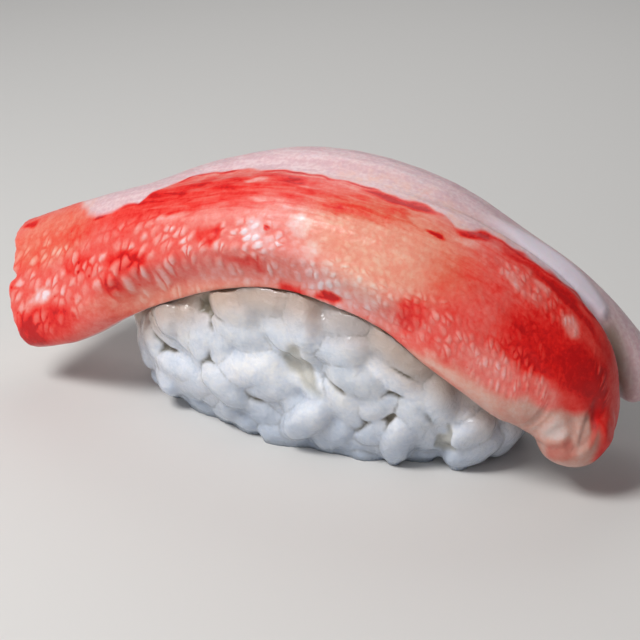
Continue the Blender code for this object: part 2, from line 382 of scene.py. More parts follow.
def leg_places(points):
    """Along, down, how surely on the red half rather than the pale, and the way out."""
    along, wide, out, half_width, outward = places_on(SKIN_ROWS, points)
    _, pale_wide, pale_out, pale_half_width, _ = places_on(PALE_ROWS, points)
    free = np.clip((np.abs(points[:, 0] - MIDDLE_X) - FREE[0]) / (FREE[1] - FREE[0]), 0.0, 1.0)
    thickness, curl = 2.0 + free, 3.0 - 2.0 * free
    red = fullness(wide, out, half_width, thickness, curl)
    pale = fullness(pale_wide, pale_out, pale_half_width, thickness, curl)
    return along, half_width - wide, pale - red, outward


along, down, redness, outward = leg_places(points_of(meat))
soft = weigh(meat, "soft", 0.2 + 0.8 * step(along, 1.5, 5.5))
modify(meat, "SMOOTH", factor=0.5, iterations=45, vertex_group=soft)

along, down, redness, outward = leg_places(points_of(meat))
near_crease = 1.0 - step(np.abs(down) + 4.0 * np.abs(redness), 0.5, CREASE_REACH)
melt = weigh(meat, "melt", near_crease * window(along, *JOINED))
modify(meat, "SMOOTH", factor=0.5, iterations=180, vertex_group=melt)
along, down, redness, outward = leg_places(points_of(meat))
thin_out(meat, "plain", 1.0 - step(redness, -0.25, 0.0), MOST_TRIANGLES)
print(f"the leg is {along.max() - along.min():.1f} mm along its curve")


# %% [markdown]
# ## Hand work on the meat
#
# Cooked meat is never as even as a loft. The whole leg is a bit lumpy, with fine fibres
# along it and folds at the tip. Towards the tip a groove follows the skin's edge, with a
# ridge of pale meat beside it. Over the middle the lip thins out to an edge on the rice.
# The cut end has torn a little between its upper and lower half, and bundles of fibre
# stand out of its face. Each of these is one soft move of the points near it.

# %% Lumps, fibres and the torn end
LUMP_SIZE = 9.0
LUMP_HEIGHT = 0.22
FIBRE_LENGTH = 14.0
FIBRE_WIDTH = 1.3
FIBRE_HEIGHT = 0.07
# Along the leg: where the lip begins to thin out and is thin, and where that ends.
LIP_ALONG = (16.0, 24.0, 60.0, 68.0)
LIP_WIDTH = 3.6
LIP_THINNING = 0.6
LIP_UNDERSIDE = 3.4
LIP_TUCK = 0.9
NOTCH_DOWN = 8.4
NOTCH_WIDTH = 0.8
NOTCH_DEPTH = 1.2
LOWER_HALF_OUT = 0.75
UPPER_HALF_IN = 0.9
# Bundles of fibre that stand out of the cut face.
BUNDLE_SIZE = 1.3
BUNDLE_HEIGHT = 0.35
# Folds and ridges: along and down, half length, half width, turn in degrees, and height.
FOLDS = (
    (84.6, 9.2, 2.0, 1.6, 0, 0.40),
    (86.8, 2.8, 1.8, 1.1, -20, 0.30),
    (85.4, 5.6, 2.4, 0.9, 35, -0.30),
    (86.4, 7.6, 1.4, 0.5, -10, -0.15),
    (82.0, 11.4, 1.6, 0.6, 50, -0.20),
)
# The skin's upper edge: along the leg, and how far down from the crease it lies.
SKIN_EDGE = np.array([
    (0, -3.0), (12.4, -3.0), (13.4, -1.4), (14.6, 0.6), (16.0, 2.2), (17.5, 3.2), (19.4, 4.4),
    (20.6, 4.3), (22.5, 4.1), (26.2, 3.9), (27.6, 2.6), (32, 0.3), (38, 0.4), (42, 1.0), (48, 0.9),
    (52.5, 1.3), (56, 1.4), (58.5, 1.1), (60.5, 1.5), (62.4, 2.3), (64.6, 1.4), (68, 1.0),
    (71, 0.8), (76, 0.5), (79, 0.2), (92, 0.0),
])
GROOVE_DEPTH = 0.6
GROOVE_WIDTH = 0.55
# The ridge of pale meat beside the skin's edge, near the tip.
RIDGE = (73.5, -1.0, 9.0, 1.3, 0)
RIDGE_END = (79.4, 80.4)
RIDGE_HEIGHT = 0.40


def noise_at(places, size, seed):
    """Smooth noise from -1 to 1, with blobs of about this size."""
    start = Vector((seed * 17.3, seed * 5.1, seed * 9.7))
    scaled = places / size
    return np.array([noise.noise(Vector(place) + start) for place in scaled])


def on_line(line, along):
    return np.interp(along, line[:, 0], line[:, 1])


def oval(along, down, middle_along, middle_down, half_length, half_width, turn):
    """1 inside an oval with a soft border, 0 outside it."""
    c, s = math.cos(math.radians(turn)), math.sin(math.radians(turn))
    a, d = along - middle_along, down - middle_down
    reach = np.hypot((a * c + d * s) / half_length, (d * c - a * s) / half_width)
    return 1.0 - step(reach, 0.55, 1.3)


def on_top(redness, facing):
    """1 on the upper face beside the crease, 0 elsewhere."""
    return (1.0 - step(np.abs(redness), 0.3, 0.6)) * step(facing, -0.3, 0.3)


def ridge_share(along, down, top):
    return oval(along, down, *RIDGE) * (1.0 - step(along, *RIDGE_END)) * top


points, normals = points_of(meat), read_points(meat, "normal")
along, down, redness, outward = leg_places(points)
around = np.where(redness > 0.0, down, -down)
facing = (normals * outward).sum(axis=1)
fibre_places = np.stack([along / FIBRE_LENGTH, around / FIBRE_WIDTH, points[:, 1] / FIBRE_WIDTH], axis=1)
raised = noise_at(points, LUMP_SIZE, 1) * LUMP_HEIGHT + noise_at(fibre_places, 1.0, 2) * FIBRE_HEIGHT
for *place, height in FOLDS:
    raised += oval(along, down, *place) * step(redness, 0.0, 0.1) * step(facing, 0.0, 0.4) * height

# A groove follows the skin's edge towards the tip, and the pale meat beside it is a ridge.
off_edge = down - on_line(SKIN_EDGE, along)
top = on_top(redness, facing)
raised += RIDGE_HEIGHT * ridge_share(along, down, top)
raised -= GROOVE_DEPTH * np.exp(-((off_edge / GROOVE_WIDTH) ** 2)) * step(along, 60.0, 70.0) * top

# Over the middle the lip of the red half thins out to an edge that lies on the rice.
on_lip = window(along, *LIP_ALONG) * step(redness, -0.05, 0.05)
_, _, out, half_width, _ = places_on(SKIN_ROWS, points)
rim = step(down, 2.0 * half_width - LIP_WIDTH, 2.0 * half_width) * on_lip
points = points + normals * raised[:, None]
points -= outward * ((out + LIP_UNDERSIDE) * LIP_THINNING * rim)[:, None]
points[:, 1] += LIP_TUCK * rim

# The torn end: a notch between its upper and lower half, and the lower one stands out.
at_end = 1.0 - step(along, 2.5, 8.0)
notch = np.exp(-(((down - NOTCH_DOWN) / NOTCH_WIDTH) ** 2)) * at_end * step(redness, 0.0, 0.2)
upper = 1.0 - step(down, NOTCH_DOWN - 2.0, NOTCH_DOWN + 1.0)
torn = noise_at(points, 1.1, 5) * 0.30 + noise_at(points, 3.0, 6) * 0.35
on_face = np.flatnonzero((along < 3.0) & (normals[:, 0] < -0.4))
for i in on_face:
    nearest, second = noise.voronoi(Vector((0.0, *points[i, 1:])) / BUNDLE_SIZE)[0][:2]
    torn[i] -= BUNDLE_HEIGHT * min((second - nearest) / 0.5, 1.0)
points[:, 0] += NOTCH_DEPTH * notch + (UPPER_HALF_IN * upper - LOWER_HALF_OUT + torn) * at_end
move_points(meat, points)
only(meat)
bpy.ops.object.shade_smooth()


# %% [markdown]
# ## Pigment
#
# The red of cooked crab is pigment in the thin skin. It is laid on the leg as one number
# for each point: 0 is white flesh, about 0.4 is peach, 0.8 is red and 1 is the deepest
# red. It starts from a few values along the leg, and named soft ovals are then painted
# over it, one after the other, as with a brush. A dark rim follows the skin's upper edge.

# %% Paint the pigment on the leg
# The skin's lower edge, where the pale lip begins.
LIP_EDGE = np.array([
    (0, 19.0), (14, 18.5), (20, 17.0), (27, 15.4), (35, 14.4), (42, 14.2), (46, 14.9), (52, 15.6),
    (60, 16.4), (66, 15.8), (70, 14.9), (74, 14.4), (77, 13.6), (80, 11.4), (82.5, 8.6), (84, 6.2),
    (86, 4.6), (92, 3.4),
])
PIGMENT_ALONG = np.array([
    (0, 0.60), (10, 0.56), (20, 0.58), (30, 0.54), (38, 0.45), (44, 0.40), (50, 0.40), (56, 0.39),
    (60, 0.44), (64, 0.54), (68, 0.66), (74, 0.80), (92, 0.90),
])
# Name, pigment, middle along and down, half length, half width, and turn in degrees.
PAINT = (
    ("orange at the cut end", 0.58, 10.5, 5.6, 5.0, 3.0, 0),
    ("pink streak", 0.44, 12.5, 8.8, 1.4, 1.8, -30),
    ("red above the orange", 0.72, 16.5, 5.6, 3.0, 1.6, 0),
    ("red band", 0.80, 31.0, 4.6, 12.5, 2.6, -6),
    ("bright end of the band", 0.90, 30.0, 3.6, 6.0, 1.3, -8),
    ("band in the middle", 0.82, 41.0, 3.9, 7.0, 2.6, 0),
    ("dull end of the band", 0.66, 51.0, 3.8, 8.5, 2.3, 0),
    ("red stripe", 0.76, 52.6, 5.2, 3.4, 0.8, 2),
    ("second stripe", 0.72, 56.5, 3.2, 4.5, 0.7, 2),
    ("pale streak", 0.40, 31.5, 6.9, 2.4, 0.6, -12),
    ("pale streaks", 0.46, 43.6, 5.2, 2.4, 0.6, 0),
    ("pale streak under the edge", 0.42, 41.3, 2.7, 1.7, 0.4, 0),
    ("dark knot", 0.92, 45.0, 2.9, 1.5, 0.8, 0),
    ("red left of the fields", 0.78, 16.8, 10.0, 3.2, 1.2, 6),
    ("red field", 0.88, 24.8, 11.0, 3.2, 1.3, 4),
    ("red under the field", 0.82, 21.4, 13.6, 2.0, 1.6, 30),
    ("red by the nodules", 0.80, 37.0, 9.4, 1.8, 1.1, 0),
    ("pink under the nodules", 0.74, 41.4, 12.0, 2.4, 0.5, 4),
    ("peach over the middle", 0.37, 57.0, 9.6, 5.6, 4.6, -8),
    ("pink by the lip", 0.22, 54.5, 12.6, 5.5, 1.8, 0),
    ("pale left lip", 0.42, 27.0, 14.4, 7.5, 1.3, -3),
    ("pale middle lip", 0.38, 37.5, 13.4, 6.5, 1.2, 0),
    ("white spot", 0.10, 42.8, 9.0, 1.5, 1.3, 0),
    ("pale under the spot", 0.22, 44.4, 10.4, 1.6, 1.0, 0),
    ("second white spot", 0.12, 47.8, 8.0, 1.3, 1.0, 0),
    ("third white spot", 0.20, 50.0, 10.4, 1.3, 0.9, 0),
    ("dark fleck", 0.98, 44.5, 8.8, 0.4, 0.3, 0),
    ("red line by the lip", 0.92, 47.0, 13.9, 2.6, 0.6, 2),
    ("second red line", 0.96, 52.4, 13.7, 1.8, 0.5, 0),
    ("long line", 0.74, 58.0, 15.4, 8.0, 0.7, 2),
    ("red border", 0.82, 63.2, 12.8, 1.9, 1.5, 20),
    ("mid red", 0.70, 68.0, 8.4, 4.4, 4.6, 0),
    ("deep red", 0.95, 76.4, 7.2, 5.4, 3.0, -16),
    ("deepest red", 1.00, 80.4, 5.4, 3.6, 2.0, -24),
    ("dark wedge at the tip", 1.02, 84.2, 4.4, 3.4, 1.1, 30),
    ("salmon above the lip", 0.46, 73.6, 12.6, 5.2, 1.9, -8),
    ("salmon above the knob", 0.54, 79.2, 10.4, 3.2, 1.7, -30),
    ("faded by the crease", 0.62, 70.5, 3.7, 3.4, 1.1, 0),
    ("fleck by the crease", 0.36, 64.2, 3.3, 1.5, 0.6, 0),
    ("pale under the edge", 0.40, 59.5, 3.3, 1.8, 0.5, 0),
    ("first right fleck", 0.40, 69.6, 4.0, 1.2, 0.5, 10),
    ("second right fleck", 0.42, 72.4, 2.8, 1.1, 0.4, 0),
    ("pink nodules", 0.44, 76.8, 3.6, 1.1, 0.8, 0),
    ("white patch", 0.14, 9.4, 12.3, 1.8, 1.0, -14),
    ("white rim patch", 0.18, 7.0, 13.2, 1.3, 0.8, -20),
    ("red under the patch", 0.94, 11.4, 15.3, 1.8, 0.6, 0),
    ("red corner", 0.84, 9.0, 15.4, 5.4, 2.2, 4),
    ("deep red corner", 0.98, 5.6, 16.4, 2.6, 2.9, 30),
    ("dot in the corner", 1.02, 6.7, 14.6, 0.4, 0.4, 0),
    ("dot by the patch", 1.02, 13.8, 15.2, 0.4, 0.4, 0),
    ("red top corner", 0.94, 6.0, 2.1, 1.4, 0.7, 0),
    ("dark end of the edge", 1.02, 20.3, 4.8, 1.3, 0.4, -10),
    ("dark end of the fold", 1.02, 61.1, 4.0, 1.0, 0.3, 10),
    ("thick dark edge", 0.98, 56.4, 1.9, 4.2, 0.6, -4),
    ("second dark edge", 0.98, 64.6, 2.1, 2.0, 0.6, -14),
    ("third dark edge", 0.98, 74.0, 1.8, 7.0, 0.6, 0),
)
# The same for the lip below the skin.
LIP_PAINT = (
    ("brown edge on the rice", 0.40, 38.0, 16.4, 26.0, 1.0, 0),
    ("red edge of the right lip", 0.46, 70.0, 17.0, 5.0, 0.8, 0),
    # The light lobe of the tip is pale flesh, laid whiter still where its highlight falls: partly a painted
    # highlight.
    ("light lobe of the tip", 0.04, 84.2, 9.3, 1.4, 1.2, 0),
    ("red under the light lobe", 0.52, 87.0, 8.2, 1.8, 1.0, -20),
    ("dark wedge at the tip", 0.98, 84.8, 4.4, 2.2, 0.7, 30),
    ("light lobe at the side", 0.20, 87.0, 2.6, 1.2, 0.7, 0),
)
WIGGLE = 0.6
WIGGLE_SIZE = 2.0


def brushed(base, ovals):
    for _, amount, *place in ovals:
        share = oval(wiggled_along, wiggled_down, *place)
        base = base * (1.0 - share) + amount * share
    return base


points, normals = points_of(meat), read_points(meat, "normal")
along, down, redness, outward = leg_places(points)
wiggled_along = along + noise_at(points, WIGGLE_SIZE, 3) * WIGGLE
wiggled_down = down + noise_at(points, WIGGLE_SIZE, 4) * WIGGLE
facing = (normals * outward).sum(axis=1)

edge = on_line(SKIN_EDGE, wiggled_along)
lip = on_line(LIP_EDGE, wiggled_along)
fade = 0.2 + 0.6 * (1.0 - step(along, 16.0, 28.0))
on_red = step(redness + 0.10 * noise_at(points, 2.2, 8), -0.06, 0.04)
skin = on_red * step(wiggled_down, edge - fade, edge + fade) * step(facing, -0.35, 0.0)
cut = (1.0 - step(along, 3.5, 6.0)) * step(-normals[:, 0], 0.50, 0.80)
skin *= 1.0 - cut
below_lip = step(wiggled_down, lip - 0.9, lip + 0.9)
pigment = brushed(on_line(PIGMENT_ALONG, wiggled_along), PAINT)
rim_width = 0.32 + 0.16 * noise_at(points, 3.5, 7)
rim = np.exp(-(((wiggled_down - edge - 0.3) / rim_width) ** 2))
rim *= step(along, 26.0, 32.0) * step(redness, -0.06, 0.0)
rim *= np.maximum(step(noise_at(points, 4.5, 12), -0.45, 0.10), step(along, 60.0, 64.0))
pigment = np.maximum(pigment, rim)
lip_pigment = brushed(0.28 - 0.06 * step(along, 62.0, 72.0), LIP_PAINT)
pigment = pigment * (1.0 - below_lip) + lip_pigment * below_lip


# %% [markdown]
# ## The grain of the skin
#
# The skin is pebbled with small pale ovals, with red between them. They are about 1.5 mm
# wide and 1.8 mm long at the cut end and half of that past the middle. Their tops lean
# towards the tip at the cut end and away from it past the middle, and by the tip they
# draw together into fine pleats. A Voronoi pattern has cells of one size, so the leg's
# places are stretched and sheared first, and the cells follow.

# %% Pebble coordinates and strengths
PEBBLE_PITCH = np.array([
    (0, 1.50), (25, 1.40), (36, 1.20), (44, 1.00), (55, 0.85), (64, 0.90), (73, 0.74), (82, 0.60),
])
PEBBLE_LENGTH = np.array([
    (0, 1.8), (25, 1.45), (36, 1.05), (44, 0.90), (55, 0.80), (64, 0.85), (75, 0.95), (92, 1.7),
])
PEBBLE_LEAN = np.array([
    (0, 0.40), (22, 0.35), (38, 0.10), (50, -0.15), (62, -0.40), (80, -0.50),
])
# Name, strength, middle along and down, half length, half width, and turn in degrees.
PEBBLED = (
    ("cut end", 1.15, 10.0, 10.5, 9.0, 6.5, 0),
    ("left", 1.35, 26.0, 11.0, 12.0, 4.6, 0),
    ("middle", 1.00, 41.5, 10.6, 6.0, 3.4, 0),
    ("peach", 0.25, 54.0, 9.0, 8.0, 5.0, 0),
    ("by the lip", 0.65, 55.0, 12.6, 8.0, 2.6, 0),
    ("right of the lip", 0.75, 65.5, 13.0, 6.0, 3.0, 0),
    ("pleats", 0.70, 75.0, 11.9, 6.5, 3.2, -14),
    ("flecks at the right", 0.60, 72.0, 3.7, 6.0, 1.4, 0),
    ("red field", 0.22, 72.0, 8.0, 8.0, 3.0, 0),
    ("side pleats", 0.60, 82.4, 3.1, 3.0, 0.9, 0),
)
STREAKED = (
    ("band", 1.0, 42.0, 3.6, 22.0, 3.6, 0),
    ("right", 0.5, 68.0, 4.0, 8.0, 3.0, 0),
)
# Where the colours are warm, towards peach, rather than cool, towards pink.
WARM = (
    ("over the middle", 1.0, 57.5, 7.2, 9.5, 5.6, 0),
    ("cut end", 0.7, 11.0, 5.0, 9.0, 4.0, 0),
    ("by the lip", 0.7, 32.0, 15.0, 16.0, 2.0, 0),
)


def strongest(ovals, along, down):
    """The strength of the strongest oval at each place."""
    total = np.zeros(len(along))
    for _, amount, *place in ovals:
        total = np.maximum(total, amount * oval(along, down, *place))
    return total


def store(piece, **named):
    """Keep one number or one vector for each point, under names that materials read."""
    for name, values in named.items():
        kind, field = ("FLOAT", "value") if values.ndim == 1 else ("FLOAT_VECTOR", "vector")
        attribute = piece.data.attributes.new(name, kind, "POINT")
        attribute.data.foreach_set(field, values.astype(np.float32).ravel())


fine = np.linspace(-5.0, 100.0, 1051)
cells = np.interp(along, fine, np.cumsum(0.1 / on_line(PEBBLE_PITCH, fine)))
pebble_u = cells + on_line(PEBBLE_LEAN, along) * down / on_line(PEBBLE_PITCH, along)
pebble_v = down / on_line(PEBBLE_LENGTH, along)
at_left_lip = step(wiggled_down, lip - 3.5, lip - 1.0) * (1.0 - step(along, 36.0, 46.0))
flattened = (1.0 - 0.8 * below_lip) * (1.0 - 0.6 * at_left_lip)
# The orange fringe of the pale half, beside the skin's edge and at the cut end.
fringe = window(along, 44.0, 52.0, 66.0, 72.0) * (1.0 - step(np.abs(down - edge), 1.0, 4.0))
store(
    meat,
    pebble_place=np.stack([pebble_u, pebble_v, np.zeros(len(along))], axis=1),
    leg_place=np.stack([along, down, around], axis=1),
    skin=skin,
    pigment=pigment,
    pebbled=strongest(PEBBLED, wiggled_along, wiggled_down) * flattened,
    streaked=strongest(STREAKED, wiggled_along, wiggled_down),
    # Painted shade: olive-grey in the crease beyond the ridge's end.
    shaded=0.85 * np.exp(-(((down + 0.5) / 1.5) ** 2)) * step(along, 79.5, 81.5),
    # Painted shade: the lip towards the tip is laid grey-brown, where it turns into shade.
    dull=0.40 * below_lip * step(along, 68.0, 82.0),
    cut=cut,
    # Painted highlight: the ridge of pale meat is laid lighter, where it catches the light.
    ridge=ridge_share(along, down, on_top(redness, facing)),
    fringe=np.maximum(fringe, 1.0 - step(along, 16.0, 20.0)),
    warmth=np.maximum(strongest(WARM, along, down), 0.6 * below_lip),
)
print("skin covers", round(float((skin > 0.5).mean()), 2), "of the leg's points")


# %% [markdown]
# ## Pebbles in relief and in colour
#
# The same nodes draw the pebbles twice. In a geometry tree they raise the surface, so
# that each pebble is real relief, and in the material they lift the colour. Both trees
# read the same stored places, so the two always lie on each other.


# %% The pebble pattern, and the relief it raises
PEBBLE_HEIGHT = 0.12 * MM


def pebbles(tree, place):
    """1 on top of a pebble and 0 between them, and one number for each pebble."""
    bend = add(tree, "TexNoise", output="Color", Vector=place, Scale=0.8, Detail=2.0, noise_dimensions="2D")
    bend = add(tree, "VectorMath", bend, (0.5, 0.5, 0.5), operation="SUBTRACT")
    bend = add(tree, "VectorMath", bend, Scale=0.7, operation="SCALE")
    place = add(tree, "VectorMath", place, bend, operation="ADD")
    cells = {"Vector": place, "Scale": 1.0, "Randomness": 0.8, "voronoi_dimensions": "2D"}
    from_middle = add(tree, "TexVoronoi", **cells)
    from_border = add(tree, "TexVoronoi", feature="DISTANCE_TO_EDGE", **cells)
    draw = add(tree, "SeparateXYZ", from_middle.node.outputs["Color"]).node.outputs
    body = add(tree, "MapRange", from_border, 0.0, 0.20, **SOFTLY)
    size = add(tree, "MULTIPLY_ADD", draw[0], 0.24, 0.38)
    crown = add(tree, "DIVIDE", from_middle, size)
    crown = add(tree, "MapRange", crown, 1.25, 0.15, **SOFTLY)
    return add(tree, "MULTIPLY", body, crown), draw[1]


relief = bpy.data.node_groups.new("pebble_relief", "GeometryNodeTree")
for way in ("INPUT", "OUTPUT"):
    relief.interface.new_socket("Geometry", in_out=way, socket_type="NodeSocketGeometry")

named_attribute = "GeometryNodeInputNamedAttribute"
height, draw = pebbles(relief, add(relief, named_attribute, "pebble_place", data_type="FLOAT_VECTOR"))
height_draw = add(relief, "MULTIPLY_ADD", draw, 0.7, 0.5)
strengths = [add(relief, named_attribute, name, data_type="FLOAT") for name in ("pebbled", "skin")]
for factor in (height_draw, *strengths, PEBBLE_HEIGHT):
    height = add(relief, "MULTIPLY", height, factor)
normal = add(relief, "GeometryNodeInputNormal")
offset = add(relief, "VectorMath", normal, Scale=height, operation="SCALE")
source = add(relief, "NodeGroupInput")
moved = add(relief, "GeometryNodeSetPosition", Geometry=source, Offset=offset)
plug(relief, relief.nodes.new("NodeGroupOutput"), {0: moved})
modify(meat, "NODES", node_group=relief)
count(meat)


# %% [markdown]
# ## Crab meat
#
# Cooked crab muscle: bundles of moist white fibre under a thin skin that holds the red
# pigment. Light goes about a millimetre into it, so it glows a little at thin edges, and
# a film of water gives it small sharp highlights over a soft sheen. Its refractive index
# is that of wet protein, about 1.38. Each pattern's scale is 1 over its size in
# millimetres.


# %% The material of the meat
def crab_material():
    made, tree, shader = new_material("cooked_crab_meat")
    names = ("pigment", "skin", "pebbled", "streaked", "warmth", "fringe", "ridge", "shaded", "dull", "cut")
    stored = {name: add(tree, "Attribute", output="Fac", attribute_name=name) for name in names}
    leg_place = add(tree, "Attribute", output="Vector", attribute_name="leg_place")
    pebble_place = add(tree, "Attribute", output="Vector", attribute_name="pebble_place")
    in_mm = add(tree, "TexCoord", output="Object")
    in_mm = add(tree, "VectorMath", in_mm, Scale=1.0 / MM, operation="SCALE")

    pebble, pebble_draw = pebbles(tree, pebble_place)
    streaks = add(tree, "Mapping", Vector=leg_place, Scale=(1 / 3.6, 1 / 0.6, 0.0))
    streaks = add(
        tree, "TexNoise", Vector=streaks, Scale=1.0, Detail=4.0, Distortion=0.5, noise_dimensions="2D"
    )
    mottle = add(tree, "TexNoise", Vector=in_mm, Scale=1 / 1.6, Detail=6.0, Roughness=0.65)
    speckle = add(tree, "TexNoise", Vector=in_mm, Scale=1 / 0.45, Detail=2.0)

    # How much pigment is left: mottling and streaks vary it, pebbles push it aside, and
    # small dark dots lie among them.
    mottling = add(tree, "MapRange", stored["pigment"], 0.70, 0.95, 0.50, 0.16, **SOFTLY)
    streaking = add(tree, "MULTIPLY", stored["streaked"], 0.7)
    amount = vary(tree, stored["pigment"], (mottle, mottling), (speckle, 0.20), (streaks, streaking))
    lift = add(tree, "MULTIPLY_ADD", pebble_draw, 0.9, 0.35)
    lift = add(tree, "MULTIPLY", lift, pebble)
    lift = add(tree, "SUBTRACT", lift, 0.28)
    lift = add(tree, "MULTIPLY", lift, stored["pebbled"])
    amount = add(tree, "MULTIPLY_ADD", lift, -0.34, amount)
    dot = add(tree, "TexVoronoi", Vector=in_mm, Scale=1 / 2.2)
    dot_draw = add(tree, "SeparateXYZ", dot.node.outputs["Color"])
    dot_reach = add(tree, "MULTIPLY_ADD", dot_draw, 0.16, 0.02)
    dotted = add(tree, "MapRange", dot, dot_reach, 0.02, **SOFTLY)
    dotted = add(tree, "MULTIPLY", dotted, stored["pebbled"])
    amount = add(tree, "MULTIPLY_ADD", dotted, 0.30, amount)

    # The red half, from white over pink or peach to deep red.
    deep = ((0.93, "DE1611"), (1.0, "C20407"))
    pink = ((0.0, "ECD6DB"), (0.2, "EBB1AE"), (0.42, "E98A80"), (0.62, "E6645A"), (0.80, "E64036"), *deep)
    peach = ((0.0, "EED9CB"), (0.2, "EBB79E"), (0.42, "E7927A"), (0.62, "E36C52"), (0.80, "E4402A"), *deep)
    pink, peach = [add(tree, "ValToRGB", amount, stops=stops) for stops in (pink, peach)]
    red_half = layered(tree, pink, (stored["warmth"], peach))

    # The pale half with its orange fringe, and the ends of the fibre bundles in the cut.
    pores = vary(tree, speckle, (streaks, 0.7), (mottle, 0.4))
    flesh = add(tree, "ValToRGB", pores, stops=((0.30, "D6B1B7"), (0.5, "DDBCC0"), (0.70, "E4C9CB")))
    patches = add(tree, "MapRange", mottle, 0.40, 0.64, 0.1, 0.6, **SOFTLY)
    orange = layered(tree, flesh, (patches, colour("E9B3A0")))
    bundle = add(tree, "TexVoronoi", Vector=in_mm, Scale=1 / BUNDLE_SIZE, feature="DISTANCE_TO_EDGE")
    bundle = add(tree, "MapRange", bundle, 0.0, 0.35, **SOFTLY)
    cut_face = layered(tree, colour("E0B2A9"), (bundle, colour("EDD6D0")))

    fibres = add(tree, "Mapping", Vector=leg_place, Scale=(1 / 9.0, 1 / 0.6, 1 / 0.6))
    fibres = add(tree, "TexNoise", Vector=fibres, Scale=1.0, Detail=3.0)
    bumps = add(tree, "MULTIPLY", pebble, stored["pebbled"])
    bumps = add(tree, "MULTIPLY_ADD", bumps, 0.6, fibres)
    bumps = add(tree, "MULTIPLY_ADD", speckle, 1.4, bumps)
    plug(tree, shader, {
        "Base Color": layered(
            tree,
            flesh,
            (stored["fringe"], orange),
            # Painted highlight on the ridge beside the skin's edge.
            (stored["ridge"], colour("EFE2EC")),
            # Painted shade in the crease near the tip.
            (stored["shaded"], colour("8C7A68")),
            (stored["skin"], red_half),
            # Painted shade: grey-brown on the lip towards the tip.
            (stored["dull"], colour("8F726B")),
            (stored["cut"], cut_face),
        ),
        "Roughness": add(tree, "MapRange", mottle, 0.3, 0.7, 0.34, 0.50, **SOFTLY),
        "IOR": 1.38,
        "Subsurface Weight": 0.25,
        "Subsurface Radius": (1.0, 0.40, 0.28),
        "Subsurface Scale": 0.9 * MM,
        "Coat Weight": 0.20,
        "Coat Roughness": 0.16,
        "Coat IOR": 1.33,
        "Normal": add(tree, "Bump", Height=bumps, Strength=0.55, Distance=0.05 * MM),
    })
    return made


meat.data.materials.clear()
meat.data.materials.append(crab_material())


# %% [markdown]
# ## One grain of rice
#
# A cooked grain of short rice is about 7 mm long and 3.5 mm across, a little flat and a
# little bent, with blunt ends. One grain is modelled from a ball, and the heap is made of
# turned and scaled copies of it. It has few faces, because the heap is remeshed later.

# %% Model a grain
GRAIN_LENGTH = 7.4
GRAIN_WIDTH = 3.8
GRAIN_THICKNESS = 3.2
GRAIN_BEND = math.radians(25)

grain = primitive("grain", bpy.ops.mesh.primitive_uv_sphere_add, segments=12, ring_count=9, radius=0.5)
modify(grain, "CAST", cast_type="CUBOID", factor=0.25)
grain.dimensions = (GRAIN_LENGTH * MM, GRAIN_WIDTH * MM, GRAIN_THICKNESS * MM)
bpy.ops.object.transform_apply(scale=True)
modify(grain, "SIMPLE_DEFORM", deform_method="BEND", deform_axis="Z", angle=GRAIN_BEND)
count(grain)


# %% [markdown]
# ## Packing the grains
#
# Pressed rice has no rule but that grains lie flat on the oblong and beside each other.
# Twenty grains at the front are laid one by one. The others start on an even spiral with
# seeded headings. Each grain is taken as three balls in a row, which are pushed apart
# where they meet, kept at the oblong's surface and kept off the meat and the floor, until
# they have settled. The grains laid one by one push the others and stay where they are.

# %% Settle the grains round the core
# The oblong: its middle, and how far it reaches from there, above and below the middle.
CORE_MIDDLE = np.array([2.0, 0.1, 11.0])
CORE_ABOVE = np.array([24.4, 10.8, 15.3])
CORE_BELOW = np.array([24.4, 10.8, 14.0])
CORE_SQUARENESS = 2.5
START_COUNT = 200
GRAIN_SEED = 5
# Grains laid one by one on the front: x and z of both ends of the grain, and how clear it is.
LAID = (
    (-14.8, 1.6, -10.1, 1.3, 1.0),
    (-4.6, 4.7, 0.5, 2.1, 0.4),
    (1.1, 5.6, 5.4, 3.8, 0.4),
    (3.3, 9.6, 6.2, 7.1, 0.1),
    (6.7, 9.1, 9.8, 5.1, 0.3),
    (6.0, 1.3, 12.6, 2.6, 0.2),
    (9.9, 6.3, 13.4, 8.7, 0.3),
    (15.2, 8.5, 17.4, 3.0, 0.6),
    (14.0, 1.3, 17.3, 1.4, 1.0),
    (18.1, 11.5, 19.0, 6.5, 0.5),
    (20.9, 7.6, 21.2, 1.6, 0.0),
    (23.1, 7.4, 22.7, 1.9, 0.2),
    (-23.2, 6.6, -20.2, 4.6, 0.1),
    (-17.5, 11.6, -15.1, 9.7, 0.3),
    (-12.7, 13.8, -12.5, 10.0, 0.4),
    (-16.9, 5.8, -11.7, 6.2, 0.1),
    (-14.6, 3.1, -9.0, 6.0, 0.2),
    (-7.5, 13.9, -2.9, 12.8, 0.5),
    (-6.6, 8.3, -0.6, 9.8, 0.2),
    (-1.0, 15.3, 4.0, 12.3, 0.6),
)
LAID_SIZES = (0.75, 1.10)
GRAIN_LIFT = (-0.30, 0.40)
BALL_RADIUS = 1.50
BALL_SPACING = 2.15
PACKING_STEPS = 120
CLEARANCE = 0.05
LOWEST_MIDDLE = 1.3
LAID_ROOM = 3.0
# A start that lies under the meat or too near a laid grain is tried again, lower down.
SECOND_START = np.array([0.0, 0.0, -2.5])
MEAT_ABOVE = 14.0
MEAT_NEAR = 7.0
# How much of a wrong distance is put right in each step.
APART_SHARE = 0.35
HEIGHT_SHARE = 0.5

meat_tree = BVHTree.FromPolygons(
    [vertex.co for vertex in meat.data.vertices], [face.vertices for face in meat.data.polygons]
)


